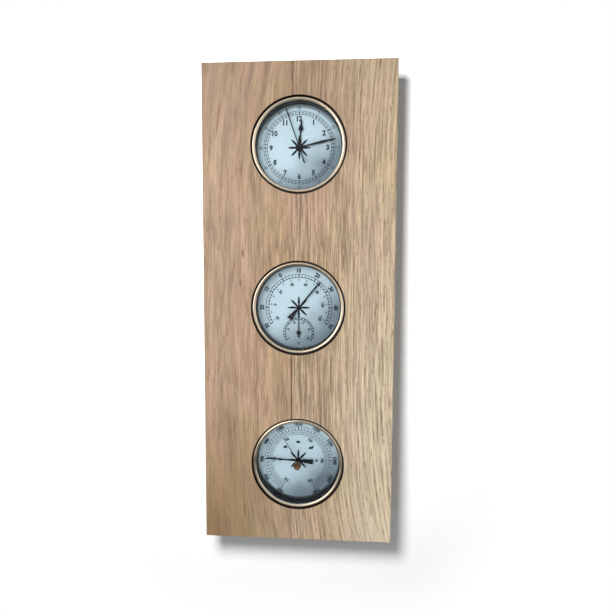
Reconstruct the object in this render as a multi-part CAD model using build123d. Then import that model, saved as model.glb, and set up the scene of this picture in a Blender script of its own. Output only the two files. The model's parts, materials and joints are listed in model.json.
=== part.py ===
from build123d import *
from math import cos, radians, sin
import os

# An oak wall board with three sunk round instruments, one above the other:
# a quartz clock, a thermometer with a small hygrometer, and an aneroid barometer.
#
# Part frame: +Z up, the dials face -Y, the back lies against the wall at Y = 0.
# The origin is the middle of the keyhole's round entry in the back plane.
# Each instrument is drawn in its own dial frame, x to the right, y up and z towards
# the viewer, with z = 0 on the dial's face. Sizes are in millimetres.

# Board
board_width = 150.0
board_height = 376.0
board_thickness = 26.0
glue_line_x = -5.0
end_margin = 26.5
edge_break = 0.6
hanger_drop = 16.0

# Seats of the instruments in the board
case_play = 0.8
lens_seat = 0.4
rebate_gap = 1.1
rebate_depth = 3.0
bezel_sink = 0.4
bezel_fall = 0.7
seat_width = 0.8

# Cases, lenses and dials
case_radius = 34.4
case_wall = 1.2
case_floor = 1.2
case_recess = 1.0
dial_depth = 9.2
dial_thickness = 0.5
dial_gap = 0.2
lens_thickness = 1.5
rib_width = 2.0
rib_reach = 3.6
rib_angles = (0, 120, 240)
clip_width = 6.0
clip_length = 9.0
clip_metal = 0.3
clip_gap = 0.06
clip_angles = (30, 150, 270)

# Fits shared by all pieces
running_gap = 0.05
pressed_gap = 0.02
working_gap = 0.3
ridge_depth = 0.35
cut_over = 1.0

# Hanger
plate_width = 38.0
plate_height = 19.0
plate_metal = 1.5
keyhole_radius = 4.75
keyhole_slot = 4.6
keyhole_travel = 8.0
screw_pocket_depth = 5.0
screw_pocket_play = 1.0

# Clock movement: a sealed block with the wheels of the hands in a recess of its front
block_width = 33.0
block_cell_gap = 5.0
block_bottom = 16.6
block_depth = 11.2
wheel_metal = 0.6
pinion_face = 1.1
layer_gap = 0.25
cannon_teeth = 8
works_teeth = 24
works_pinion_teeth = 8
hour_teeth = 32
cannon_module = 0.35
works_angle = 200.0
second_arbor_radius = 0.35
cannon_bore_radius = 0.4
cannon_pipe_radius = 0.95
hour_pipe_radius = 1.6
setting_knob_radius = 3.0
setting_knob_ridges = 16

# Clock: cell, cap and contacts
cell_radius = 5.8
cell_thickness = 5.4
cell_edge = 3.2
cap_radius = 6.4
cap_play = 0.1
cap_lug = 0.8
cap_lug_width = 2.4
cap_slot_width = 1.4
cap_slot_depth = 0.6
cap_turn = 60.0
cell_post = 1.6
cell_post_angles = (40, 80, 260)
contact_metal = 0.25
contact_width = 3.0

# Clock hands
hand_metal = 0.3
hour_hand_rise = 0.7
hand_step = 0.65
hour_root_width = 3.4
minute_root_width = 1.2
hour_hub_radius = 3.1
minute_hub_radius = 2.6
hour_tip_gap = 11.2
hour_spade_width = 3.8
minute_tip_gap = 3.7
minute_hand_width = 1.8
second_tip_gap = 1.4
second_hand_tail = 12.8
second_hand_width = 0.7
second_tail_width = 1.1
second_cap_radius = 1.4
hour_hand_angle = 4.9
minute_hand_angle = 77.2
second_hand_angle = -19.3

# Thermometer and hygrometer
pointer_arbor_radius = 0.6
pointer_rise = 1.5
pointer_cap_radius = 1.7
pointer_cap_height = 0.5
pointer_tip_gap = 6.2
thermometer_tail_length = 11.8
thermometer_tail_width = 4.5
thermometer_hand_width = 1.1
thermometer_hand_angle = 39.6
hygrometer_edge = 12.9
hygrometer_rise = 0.5
hygrometer_hand_length = 13.5
hygrometer_tail_length = 3.7
hygrometer_hand_width = 0.8
hygrometer_cap_radius = 1.8
frame_width = 6.0
frame_metal = 0.8
thermometer_frame_length = 22.0
thermometer_frame_depth = 8.6
hygrometer_frame_length = 15.0
hygrometer_frame_depth = 7.4
spiral_metal = 0.35
thermometer_strip_width = 2.4
thermometer_coil_radius = 1.2
thermometer_coil_pitch = 2.6
thermometer_half_turns = 3
hygrometer_strip_width = 3.0
hygrometer_coil_radius = 1.2
hygrometer_coil_pitch = 2.2
hygrometer_half_turns = 2
stud_width = 1.0
vent_slot_length = 9.0
vent_slot_width = 2.0
vent_circle_radius = 20.0
thermometer_vents = 4
barometer_vents = 2

# Barometer
capsule_radius = 12.0
capsule_height = 3.9
capsule_post_width = 2.8
capsule_post_height = 0.9
base_edge = 3.6
base_rib_gap = 0.63
base_corner_gap = 0.5
base_metal = 1.0
capsule_spring_metal = 0.9
capsule_spring_width = 8.0
capsule_spring_foot = 5.0
spring_arch_gap = 1.4
lever_metal = 0.7
lever_width = 2.4
lever_reach = 15.0
pillar_width = 3.0
bridge_metal = 0.8
bridge_width = 5.0
bridge_depth = 5.6
baro_pinion_teeth = 12
baro_sector_teeth = 120
sector_tooth_count = 13
baro_module = 0.3
baro_pinion_face = 1.2
sector_arm_width = 2.2
sector_rim = 1.4
sector_tail = 6.0
sector_angle = 180.0
barometer_tail_length = 12.1
barometer_tail_width = 4.2
barometer_hand_width = 1.2
barometer_hand_angle = -86.6
set_tip_gap = 10.2
set_hand_width = 0.9
set_hub_radius = 1.5
set_hand_tail = 1.8
set_hand_rise = 3.2
set_hand_angle = -32.0
set_shaft_radius = 0.9
set_knob_radius = 3.0
set_knob_length = 4.6
set_knob_neck = 1.4
set_knob_ridges = 20
adjuster_radius = 1.5
adjuster_slot_width = 0.5
adjuster_slot_depth = 0.5

# Proportions that belong to a form rather than to one size
tooth_addendum_share = 0.8
tooth_dedendum_share = 1.3
spade_shares = (
    (0.27, 0.53),
    (0.36, 0.34),
    (0.45, 0.24),
    (0.55, 0.34),
    (0.60, 0.80),
    (0.66, 1.0),
    (0.72, 0.80),
    (0.78, 0.42),
    (0.90, 0.32),
)
leaf_shares = ((0.27, 0.60), (0.42, 0.80), (0.57, 1.0), (0.70, 0.88), (0.82, 0.60), (0.95, 0.42))
needle_tip_share = 0.8
needle_point_share = 1.5
set_hand_tip_share = 0.4
sector_rim_shares = (0, 0.25, 0.5, 0.75, 1)

# Heights along an instrument's axis, from the face of its dial
face_z = dial_depth
back_z = dial_depth - board_thickness
seat_z = dial_depth - rebate_depth
case_back_z = back_z + case_recess
floor_z = case_back_z + case_floor
dial_back_z = -dial_thickness
lens_back_z = seat_z

# Radii that follow from the case, from its inside to the rebate in the board
case_inner_radius = case_radius - case_wall
bezel_inner_radius = case_inner_radius + lens_seat
lens_radius = bezel_inner_radius - pressed_gap
hole_radius = case_radius + case_play
bezel_radius = hole_radius + seat_width
rebate_radius = bezel_radius + rebate_gap

# Lengths of the hands, whose tips keep their gap to the inside of the case
hour_hand_length = case_inner_radius - hour_tip_gap
minute_hand_length = case_inner_radius - minute_tip_gap
second_hand_length = case_inner_radius - second_tip_gap
pointer_length = case_inner_radius - pointer_tip_gap
set_hand_length = case_inner_radius - set_tip_gap

# Places inside the cases: the cell above the movement, the hygrometer under the thermometer
cell_height = case_inner_radius - cap_radius - cell_edge
block_top = cell_height - cell_radius - block_cell_gap
hygrometer_drop = case_inner_radius - hygrometer_edge

# Layers of the clock movement
block_back_z = dial_back_z - block_depth
hour_wheel_z = dial_back_z - layer_gap - wheel_metal
works_wheel_z = hour_wheel_z - layer_gap - 2 * wheel_metal
recess_z = works_wheel_z - layer_gap

# Modules and centre distances that follow from the wheels they share
works_distance = cannon_module * (cannon_teeth + works_teeth) / 2
hour_module = 2 * works_distance / (works_pinion_teeth + hour_teeth)
sector_distance = baro_module * (baro_pinion_teeth + baro_sector_teeth) / 2


def polar(radius, angle):
    return (radius * cos(radians(angle)), radius * sin(radians(angle)))


works_centre = polar(works_distance, works_angle)
sector_centre = polar(sector_distance, sector_angle)

# Places on the board, from its middle: the outer instruments keep their margin to its ends
hanger_height = board_height / 2 - hanger_drop
clock_station = board_height / 2 - end_margin - bezel_radius
thermometer_station = 0
barometer_station = -clock_station


# Basic forms, drawn in a dial frame


def rod(radius, low, high, centre=(0, 0)):
    stick = Cylinder(radius, high - low, align=(Align.CENTER, Align.CENTER, Align.MIN))
    return Pos(centre[0], centre[1], low) * stick


def block(left, right, bottom, top, low, high):
    middle = ((left + right) / 2, (bottom + top) / 2, (low + high) / 2)
    return Pos(*middle) * Box(right - left, top - bottom, high - low)


def turned(outline):
    # A closed outline of (radius, height) points, turned about the axis.
    return revolve(Plane.XZ * Polygon(*outline, align=None), axis=Axis.Z)


def plate(outline, low, high):
    return Pos(0, 0, low) * extrude(Polygon(*outline, align=None), high - low)


def spin(shape, angle):
    # Clockwise as the viewer sees it.
    return Rot(0, 0, -angle) * shape


def zigzag(tip, root, first, step, number):
    # Corners of pointed ridges between two radii, the first ridge at the angle first.
    outline = []
    for ridge in range(number):
        outline.append(polar(root, first + (ridge - 1 / 2) * step))
        outline.append(polar(tip, first + ridge * step))
    return outline


def gear(teeth, module, low, high, tooth_at):
    # Pointed teeth on the pitch circle teeth * module, one of them at tooth_at.
    radius = teeth * module / 2
    tip = radius + tooth_addendum_share * module
    root = radius - tooth_dedendum_share * module
    return plate(zigzag(tip, root, tooth_at, 360 / teeth, teeth), low, high)


def ridged_rod(radius, ridges, low, high):
    # A round knob with a milled edge.
    return plate(zigzag(radius, radius - ridge_depth, 0, 360 / ridges, ridges), low, high)


def spiral(first_radius, pitch, half_turns, metal, low, high):
    # A flat strip wound outwards in half circles that share their ends.
    # It starts to the right of the axis and ends on the x axis as well.
    edges = []
    ends = []
    for side in (metal / 2, -metal / 2):
        for turn in range(half_turns):
            middle = (pitch / 2 * (turn % 2), 0)
            radius = first_radius + turn * pitch / 2 + side
            arc = CenterArc(middle, radius, 180 * (turn % 2), 180)
            edges.append(arc)
            if turn == 0:
                ends.append(arc @ 0)
            if turn == half_turns - 1:
                ends.append(arc @ 1)
    edges.append(Line(ends[0], ends[2]))
    edges.append(Line(ends[1], ends[3]))
    return Pos(0, 0, low) * extrude(make_face(edges), high - low)


def spiral_end(first_radius, pitch, half_turns):
    # The middle of the strip's outer end.
    radius = first_radius + (half_turns - 1) * pitch / 2
    if half_turns % 2:
        return -radius
    return radius + pitch / 2


# Hands: each points to the top of the dial before it is turned to its reading


def hand_outline(length, width, shares, root_width):
    right = [(root_width / 2, 0)]
    for along, across in shares:
        right.append((width / 2 * across, length * along))
    tip = [(0, length)]
    left = [(-x, y) for x, y in reversed(right)]
    return right + tip + left


def pointer_outline(length, tail, width, tail_width, tip_share=needle_tip_share):
    # A needle with a short point and a tail that widens like a trapezoid.
    tip = width / 2 * tip_share
    shoulder = length - width * needle_point_share
    return [
        (width / 2, 0),
        (tip, shoulder),
        (0, length),
        (-tip, shoulder),
        (-width / 2, 0),
        (-tail_width / 2, -tail),
        (tail_width / 2, -tail),
    ]


# Places of the instruments on the board


def placed(shape, height):
    # From the dial frame of the instrument at this height into the part frame.
    return Location((0, dial_depth - board_thickness, height - hanger_height), (90, 0, 0)) * shape


def at_stations(pieces):
    # One node for the like pieces of the three instruments, from the top down.
    heights = (clock_station, thermometer_station, barometer_station)
    return Compound(children=[placed(piece, height) for piece, height in zip(pieces, heights)])


# Board and hanger


def board():
    slab = Pos(0, -board_thickness / 2, -hanger_height)
    slab *= Box(board_width, board_thickness, board_height)
    front = slab.faces().sort_by(Axis.Y)[0]
    slab = chamfer(front.edges(), edge_break)
    for height in (clock_station, thermometer_station, barometer_station):
        seat = rod(rebate_radius, seat_z, face_z + cut_over)
        seat += rod(hole_radius, back_z - cut_over, seat_z)
        slab -= placed(seat, height)
    slab -= hanger_recess()
    return slab


def board_half(left, right):
    # One stave: the part of the board between two upright planes.
    slice_box = Pos((left + right) / 2, -board_thickness / 2, -hanger_height)
    slice_box *= Box(right - left, board_thickness * 2, board_height * 2)
    return board() & slice_box


def board_left_stave():
    return board_half(-board_width / 2 - cut_over, glue_line_x)


def board_right_stave():
    return board_half(glue_line_x, board_width / 2 + cut_over)


def upright_slot(radius, travel, front, back):
    # A slot that runs up from the origin, cut along Y.
    slot = Rot(90, 0, 0) * rod(radius, -back, -front)
    slot += Pos(0, 0, travel) * Rot(90, 0, 0) * rod(radius, -back, -front)
    middle = Pos(0, (front + back) / 2, travel / 2)
    return slot + middle * Box(2 * radius, back - front, travel)


def plate_slab(front, back, play):
    # The plate's own outline, seen from the back, with its middle above the entry hole.
    middle = Pos(0, (front + back) / 2, keyhole_travel / 2)
    return middle * Box(plate_width + 2 * play, back - front, plate_height + 2 * play)


def hanger_recess():
    recess = plate_slab(-plate_metal, cut_over, pressed_gap)
    pocket_radius = keyhole_radius + screw_pocket_play
    return recess + upright_slot(pocket_radius, keyhole_travel, -plate_metal - screw_pocket_depth, 0)


def hanger_plate():
    # A steel plate let in flush with the back.
    steel = plate_slab(-plate_metal, 0, 0)
    steel -= Rot(90, 0, 0) * rod(keyhole_radius, -cut_over, plate_metal + cut_over)
    steel -= upright_slot(keyhole_slot / 2, keyhole_travel, -plate_metal - cut_over, cut_over)
    return steel


# Pieces that all three instruments share


def bezel():
    top = face_z - bezel_sink
    return turned(
        [
            (bezel_inner_radius, seat_z),
            (bezel_radius, seat_z),
            (bezel_radius, top - bezel_fall),
            (bezel_inner_radius, top),
        ]
    )


def lens(hole=0):
    glass = rod(lens_radius, lens_back_z, lens_back_z + lens_thickness)
    if hole:
        glass -= rod(hole, lens_back_z - cut_over, face_z)
    return glass


def case_cup():
    # A moulded cup: a thin wall, a floor, and ribs inside that carry the dial.
    cup = turned(
        [
            (0, case_back_z),
            (case_radius, case_back_z),
            (case_radius, seat_z),
            (case_inner_radius, seat_z),
            (case_inner_radius, floor_z),
            (0, floor_z),
        ]
    )
    outer = case_inner_radius + case_wall / 2
    rib = block(outer - rib_reach, outer, -rib_width / 2, rib_width / 2, floor_z, dial_back_z)
    for angle in rib_angles:
        cup += Rot(0, 0, angle) * rib
    return cup


def dial(hole, centres):
    disc = rod(case_inner_radius - dial_gap, dial_back_z, 0)
    for centre in centres:
        disc -= rod(hole, dial_back_z - cut_over, cut_over, centre)
    return disc


def dials():
    pointer_hole = pointer_arbor_radius + working_gap
    clock = dial(hour_pipe_radius + working_gap, [(0, 0)])
    thermometer = dial(pointer_hole, [(0, 0), (0, -hygrometer_drop)])
    return at_stations([clock, thermometer, dial(pointer_hole, [(0, 0)])])


def case_clips():
    # Three bowed leaf springs that hold the case in the board's hole.
    inner = case_radius + clip_gap
    outer = hole_radius - clip_gap * 3
    middle_z = (seat_z + case_back_z) / 2
    low = middle_z - clip_length / 2
    high = middle_z + clip_length / 2
    bow = Polygon(
        (inner, low),
        (inner + clip_metal, low),
        (outer, middle_z),
        (inner + clip_metal, high),
        (inner, high),
        (outer - clip_metal, middle_z),
        align=None,
    )
    leaf = extrude(Plane.XZ * bow, clip_width / 2, both=True)
    return Compound(children=[Rot(0, 0, angle) * leaf for angle in clip_angles])


# Clock


def clock_case():
    cup = case_cup()
    cell = (0, cell_height)
    cup -= rod(cap_radius + running_gap, case_back_z - cut_over, floor_z + cut_over, cell)
    lug_reach = cap_radius + cap_lug + working_gap
    lug_half = cap_lug_width / 2 + working_gap
    notch = block(-lug_reach, lug_reach, -lug_half, lug_half, case_back_z - cut_over, floor_z + cut_over)
    cup -= Pos(0, cell_height, 0) * spin(notch, cap_turn)
    knob_hole = setting_knob_radius + working_gap
    cup -= rod(knob_hole, case_back_z - cut_over, floor_z + cut_over, works_centre)
    post_inner = cap_radius + cap_play
    post_top = cap_seat_z() + cell_thickness
    for angle in cell_post_angles:
        post = block(post_inner, post_inner + 2 * cell_post, -cell_post, cell_post, floor_z, post_top)
        cup += Pos(0, cell_height, 0) * Rot(0, 0, angle) * post
    return cup


def cap_seat_z():
    # The plane of the cap that the cell rests on: the top of its lugs.
    return floor_z + running_gap + cap_lug


def battery_cap():
    # A round cap with two lugs that grip behind the case's floor, and a coin slot.
    cap = rod(cap_radius, case_back_z, cap_seat_z())
    reach = cap_radius + cap_lug
    half = cap_lug_width / 2
    cap += block(-reach, reach, -half, half, floor_z + running_gap, cap_seat_z())
    slot = cap_slot_width / 2
    cap -= block(-cap_radius, cap_radius, -slot, slot, case_back_z - cut_over, case_back_z + cap_slot_depth)
    return Pos(0, cell_height, 0) * cap


def battery():
    low = cap_seat_z()
    cell = rod(cell_radius, low, low + cell_thickness)
    return Pos(0, cell_height, 0) * cell


def battery_contacts():
    # One strip presses on the cell's face, one at its side; both start at the movement.
    top = cap_seat_z() + cell_thickness
    half = contact_width / 2
    foot = block_top + pressed_gap
    end = cell_height + half
    strip = block(-half, half, foot, end, top, top + contact_metal)
    side = cell_radius + contact_metal
    tab = block(side, side + contact_metal, foot, end, block_back_z, block_back_z + contact_width)
    return Compound(children=[strip, tab])


def movement():
    # The sealed housing of motor and train, seated on the dial's back.
    half = block_width / 2
    body = block(-half, half, -block_bottom, block_top, block_back_z, dial_back_z)
    hour_reach = hour_module * (hour_teeth / 2 + 1) + working_gap
    works_reach = cannon_module * (works_teeth / 2 + 1) + working_gap
    x, y = works_centre
    top = dial_back_z + cut_over
    body -= block(-hour_reach, hour_reach, -hour_reach, hour_reach, recess_z, top)
    return body - block(
        x - works_reach, x + works_reach, y - works_reach, y + works_reach, recess_z, top
    )


def hour_wheel():
    # The wheel and its pipe, which carries the hour hand.
    top = hour_wheel_z + wheel_metal
    wheel = gear(hour_teeth, hour_module, hour_wheel_z, top, works_angle + 180 / hour_teeth)
    wheel += rod(hour_pipe_radius, hour_wheel_z, hour_hand_rise + hand_metal)
    return wheel - rod(cannon_pipe_radius + running_gap, hour_wheel_z - cut_over, face_z)


def minute_hand_z():
    return hour_hand_rise + hand_step


def second_hand_z():
    return minute_hand_z() + hand_step


def cannon_pinion():
    # The minute pipe, which stands on its pinion and carries the minute hand.
    low = recess_z + running_gap
    pipe = gear(cannon_teeth, cannon_module, low, works_wheel_z + pinion_face, works_angle)
    pipe += rod(cannon_pipe_radius, works_wheel_z, minute_hand_z() + hand_metal)
    return pipe - rod(cannon_bore_radius, low - cut_over, face_z)


def works_wheel():
    # Carries the motion from the minute pipe to the hour wheel.
    tooth_at = works_angle + 180 + 180 / works_teeth
    wheel = gear(works_teeth, cannon_module, works_wheel_z, works_wheel_z + wheel_metal, tooth_at)
    top = hour_wheel_z + wheel_metal
    wheel += gear(works_pinion_teeth, hour_module, recess_z + running_gap, top, works_angle + 180)
    return Pos(*works_centre) * wheel


def setting_knob():
    # A milled knob for the finger, on the works wheel's arbor and sunk in the case's floor.
    low = case_back_z + case_recess / 2
    knob = ridged_rod(setting_knob_radius, setting_knob_ridges, low, block_back_z - running_gap)
    return Pos(*works_centre) * knob


def second_arbor():
    # Comes out of the sealed housing and reaches through both pipes.
    return rod(second_arbor_radius, recess_z + running_gap, second_hand_z())


def clock_hand(outline, low, hub_radius, bore, angle):
    hand = plate(outline, low, low + hand_metal) + rod(hub_radius, low, low + hand_metal)
    return spin(hand - rod(bore, low - cut_over, low + cut_over), angle)


def hour_hand():
    outline = hand_outline(hour_hand_length, hour_spade_width, spade_shares, hour_root_width)
    bore = hour_pipe_radius + pressed_gap
    return clock_hand(outline, hour_hand_rise, hour_hub_radius, bore, hour_hand_angle)


def minute_hand():
    outline = hand_outline(minute_hand_length, minute_hand_width, leaf_shares, minute_root_width)
    bore = cannon_pipe_radius + pressed_gap
    return clock_hand(outline, minute_hand_z(), minute_hub_radius, bore, minute_hand_angle)


def second_hand():
    outline = pointer_outline(
        second_hand_length, second_hand_tail, second_hand_width, second_tail_width
    )
    low = second_hand_z()
    hand = plate(outline, low, low + hand_metal)
    hand += rod(second_cap_radius, low, low + 2 * hand_metal)
    return spin(hand, second_hand_angle)


# Thermometer and hygrometer


def vented_case(slots):
    # A case that lets the room's air in through slots in its floor.
    cup = case_cup()
    half = vent_slot_width / 2
    start = vent_circle_radius - vent_slot_length / 2
    end = vent_circle_radius + vent_slot_length / 2
    slot = block(start, end, -half, half, case_back_z - cut_over, floor_z + cut_over)
    for turn in range(slots):
        cup -= Rot(0, 0, 90 + 360 * turn / slots) * slot
    return cup


def thermometer_case():
    return vented_case(thermometer_vents)


def pivot_frame(length, depth):
    # A bent strip that carries an arbor at both ends: a face on the dial, legs, a cock.
    high = dial_back_z
    low = high - depth
    half = length / 2
    side = frame_width / 2
    strip = block(-half, half, -side, side, low, high)
    strip -= block(
        -half + frame_metal,
        half - frame_metal,
        -side - cut_over,
        side + cut_over,
        low + frame_metal,
        high - frame_metal,
    )
    return strip - rod(pointer_arbor_radius + running_gap, high - frame_metal - layer_gap, high + cut_over)


def frame_stud(end_x, low):
    # A stud that holds the outer end of a spiral to the frame's cock.
    half = stud_width / 2
    return block(end_x - half, end_x + half, -half, half, low, low + frame_metal + layer_gap)


def spiral_low(depth):
    return dial_back_z - depth + frame_metal + layer_gap


def pointer_arbor(depth, hand_low):
    # From the frame's cock through the dial to the underside of its hand.
    return rod(pointer_arbor_radius, dial_back_z - depth + frame_metal + running_gap, hand_low)


def pointer_hand(length, tail, width, tail_width, rise, cap, angle):
    outline = pointer_outline(length, tail, width, tail_width)
    hand = plate(outline, rise, rise + hand_metal) + rod(cap, rise, rise + pointer_cap_height)
    return spin(hand, angle)


def thermometer_frame():
    frame = pivot_frame(thermometer_frame_length, thermometer_frame_depth)
    end_x = spiral_end(thermometer_coil_radius, thermometer_coil_pitch, thermometer_half_turns)
    return frame + frame_stud(end_x, dial_back_z - thermometer_frame_depth)


def thermometer_spiral():
    low = spiral_low(thermometer_frame_depth)
    return spiral(
        thermometer_coil_radius,
        thermometer_coil_pitch,
        thermometer_half_turns,
        spiral_metal,
        low,
        low + thermometer_strip_width,
    )


def thermometer_arbor():
    return pointer_arbor(thermometer_frame_depth, pointer_rise)


def thermometer_hand():
    return pointer_hand(
        pointer_length,
        thermometer_tail_length,
        thermometer_hand_width,
        thermometer_tail_width,
        pointer_rise,
        pointer_cap_radius,
        thermometer_hand_angle,
    )


def on_hygrometer(shape):
    return Pos(0, -hygrometer_drop, 0) * shape


def hygrometer_frame():
    frame = pivot_frame(hygrometer_frame_length, hygrometer_frame_depth)
    end_x = spiral_end(hygrometer_coil_radius, hygrometer_coil_pitch, hygrometer_half_turns)
    return on_hygrometer(frame + frame_stud(end_x, dial_back_z - hygrometer_frame_depth))


def hygrometer_coil():
    low = spiral_low(hygrometer_frame_depth)
    strip = spiral(
        hygrometer_coil_radius,
        hygrometer_coil_pitch,
        hygrometer_half_turns,
        spiral_metal,
        low,
        low + hygrometer_strip_width,
    )
    return on_hygrometer(strip)


def hygrometer_arbor():
    return on_hygrometer(pointer_arbor(hygrometer_frame_depth, hygrometer_rise))


def hygrometer_hand():
    hand = pointer_hand(
        hygrometer_hand_length,
        hygrometer_tail_length,
        hygrometer_hand_width,
        2 * hygrometer_hand_width,
        hygrometer_rise,
        hygrometer_cap_radius,
        0,
    )
    return on_hygrometer(hand)


# Barometer


def barometer_case():
    hole = adjuster_radius + working_gap
    cup = vented_case(barometer_vents)
    return cup - rod(hole, case_back_z - cut_over, floor_z + cut_over, adjuster_centre())


def adjuster_centre():
    return (-capsule_radius - spring_arch_gap - capsule_spring_foot / 2, 0)


def base_top_z():
    return floor_z + base_metal


def bridge_low_z():
    return dial_back_z - bridge_depth


def base_side():
    # The base and the bridge end just inside the ribs of the case.
    return (case_inner_radius - rib_reach) * sin(radians(rib_angles[1])) - base_rib_gap


def barometer_base():
    # The movement's plate on the case's floor, with the two pillars of the bridge.
    half = adjuster_radius + base_edge - adjuster_centre()[0]
    side = base_side()
    base = block(-half, half, -side, side, floor_z, base_top_z())
    base &= rod(case_inner_radius - base_corner_gap, floor_z, base_top_z())
    foot = pillar_width / 2
    for y in (pillar_width - side, side - pillar_width):
        base += block(-foot, foot, y - foot, y + foot, floor_z, bridge_low_z())
    hole = adjuster_radius + running_gap
    return base - rod(hole, floor_z - cut_over, base_top_z() + cut_over, adjuster_centre())


def capsule_top_z():
    return base_top_z() + capsule_height


def capsule():
    # The sealed box of thin metal, with the post that the spring pulls on.
    half = capsule_post_width / 2
    post_top = capsule_top_z() + capsule_post_height
    box = rod(capsule_radius, base_top_z(), capsule_top_z())
    return box + block(-half, half, -half, half, capsule_top_z(), post_top)


def spring_top_z():
    return capsule_top_z() + capsule_post_height + capsule_spring_metal


def capsule_spring():
    # The strong leaf that arches from its foot over the capsule and holds it open.
    foot_x = -capsule_radius - spring_arch_gap
    low = base_top_z()
    metal = capsule_spring_metal
    top = spring_top_z()
    half = capsule_spring_width / 2
    leaf = block(foot_x - capsule_spring_foot, foot_x, -half, half, low, low + metal)
    leaf += block(foot_x - metal, foot_x, -half, half, low, top)
    return leaf + block(foot_x - metal, capsule_post_width, -half, half, top - metal, top)


def lever_arm():
    # Stands on the spring's free end and reaches out towards the sector's tail.
    low = spring_top_z()
    half = lever_width / 2
    return block(-lever_reach, capsule_post_width / 2, -half, half, low, low + lever_metal)


def pointer_bridge():
    # The upper strip lies behind the dial, the lower one on the pillars.
    half = base_side()
    side = bridge_width / 2
    low = bridge_low_z()
    strip = block(-side, side, -half, half, low, dial_back_z)
    strip -= block(
        -side - cut_over,
        side + cut_over,
        -half + bridge_metal,
        half - bridge_metal,
        low + bridge_metal,
        dial_back_z - bridge_metal,
    )
    reach = sector_centre[0] - side
    strip += block(reach, 0, -side, side, low, low + bridge_metal)
    hole = pointer_arbor_radius + running_gap
    return strip - rod(hole, dial_back_z - bridge_metal - cut_over, cut_over)


def sector_low_z():
    return dial_back_z - bridge_metal - layer_gap - baro_pinion_face


def toothed_sector():
    # Swings about its own arbor; its toothed rim turns the pointer's pinion.
    low = sector_low_z() + layer_gap
    high = low + wheel_metal
    radius = baro_sector_teeth * baro_module / 2
    tip = radius + tooth_addendum_share * baro_module
    root = radius - tooth_dedendum_share * baro_module
    step = 360 / baro_sector_teeth
    half_count = (sector_tooth_count - 1) / 2
    inner = root - sector_rim
    # Built with the pointer at the top, when the middle tooth is in mesh.
    first = sector_angle + 180 - half_count * step
    rim = zigzag(tip, root, first, step, sector_tooth_count)
    last = first + (sector_tooth_count - 1 / 2) * step
    rim.append(polar(root, last))
    for share in sector_rim_shares:
        rim.append(polar(inner, last + (first - step / 2 - last) * share))
    half = sector_arm_width / 2
    fan = plate(rim, low, high) + block(-sector_tail, inner + sector_rim / 2, -half, half, low, high)
    fan += rod(pointer_arbor_radius, bridge_low_z() + bridge_metal + running_gap, high)
    swing = -barometer_hand_angle * baro_pinion_teeth / baro_sector_teeth
    return Pos(*sector_centre) * spin(fan, swing)


def barometer_arbor():
    # The pointer's arbor with its pinion, over the bridge's lower strip.
    arbor = rod(pointer_arbor_radius, bridge_low_z() + bridge_metal + running_gap, pointer_rise)
    low = sector_low_z()
    tooth_at = sector_angle + 180 / baro_pinion_teeth
    arbor += gear(baro_pinion_teeth, baro_module, low, low + baro_pinion_face, tooth_at)
    return spin(arbor, barometer_hand_angle)


def barometer_hand():
    return pointer_hand(
        pointer_length,
        barometer_tail_length,
        barometer_hand_width,
        barometer_tail_width,
        pointer_rise,
        pointer_cap_radius,
        barometer_hand_angle,
    )


def set_hand():
    # The brass marker that is set by hand over yesterday's reading.
    low = set_hand_rise
    outline = pointer_outline(
        set_hand_length, set_hand_tail, set_hand_width, set_hand_width, set_hand_tip_share
    )
    marker = plate(outline, low, low + hand_metal) + rod(set_hub_radius, low, low + hand_metal)
    return spin(marker, set_hand_angle)


def set_knob():
    # A milled brass knob before the lens, with the shaft that carries the marker.
    low = lens_back_z + lens_thickness + working_gap + set_knob_neck
    shaft = rod(set_shaft_radius, set_hand_rise + hand_metal, low)
    return shaft + ridged_rod(set_knob_radius, set_knob_ridges, low, low + set_knob_length)


def adjusting_screw():
    # Reached through the case's floor, it lifts the spring's foot to set the reading.
    low = case_back_z + working_gap
    screw = rod(adjuster_radius, low, base_top_z() - running_gap)
    half = adjuster_slot_width / 2
    reach = adjuster_radius
    screw -= block(-reach, reach, -half, half, low - cut_over, low + adjuster_slot_depth)
    return Pos(*adjuster_centre()) * screw


# All nodes: the ones of the part frame, then those of each instrument

board_nodes = {
    "board_left_stave": board_left_stave,
    "board_right_stave": board_right_stave,
    "hanger_plate": hanger_plate,
}


shared_nodes = {
    "instrument_cases": lambda: at_stations([clock_case(), thermometer_case(), barometer_case()]),
    "case_clips": lambda: at_stations([case_clips(), case_clips(), case_clips()]),
    "bezels": lambda: at_stations([bezel(), bezel(), bezel()]),
    "lenses": lambda: at_stations([lens(), lens(), lens(set_shaft_radius + running_gap)]),
    "dials": dials,
}

clock_nodes = {
    "movement": movement,
    "hour_wheel": hour_wheel,
    "cannon_pinion": cannon_pinion,
    "works_wheel": works_wheel,
    "setting_knob": setting_knob,
    "second_arbor": second_arbor,
    "battery": battery,
    "battery_cap": battery_cap,
    "battery_contacts": battery_contacts,
    "hour_hand": hour_hand,
    "minute_hand": minute_hand,
    "second_hand": second_hand,
}

thermometer_nodes = {
    "thermometer_frame": thermometer_frame,
    "thermometer_spiral": thermometer_spiral,
    "thermometer_arbor": thermometer_arbor,
    "thermometer_hand": thermometer_hand,
    "hygrometer_frame": hygrometer_frame,
    "hygrometer_coil": hygrometer_coil,
    "hygrometer_arbor": hygrometer_arbor,
    "hygrometer_hand": hygrometer_hand,
}

barometer_nodes = {
    "barometer_base": barometer_base,
    "capsule": capsule,
    "capsule_spring": capsule_spring,
    "lever_arm": lever_arm,
    "pointer_bridge": pointer_bridge,
    "toothed_sector": toothed_sector,
    "barometer_arbor": barometer_arbor,
    "barometer_hand": barometer_hand,
    "set_hand": set_hand,
    "set_knob": set_knob,
    "adjusting_screw": adjusting_screw,
}

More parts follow.
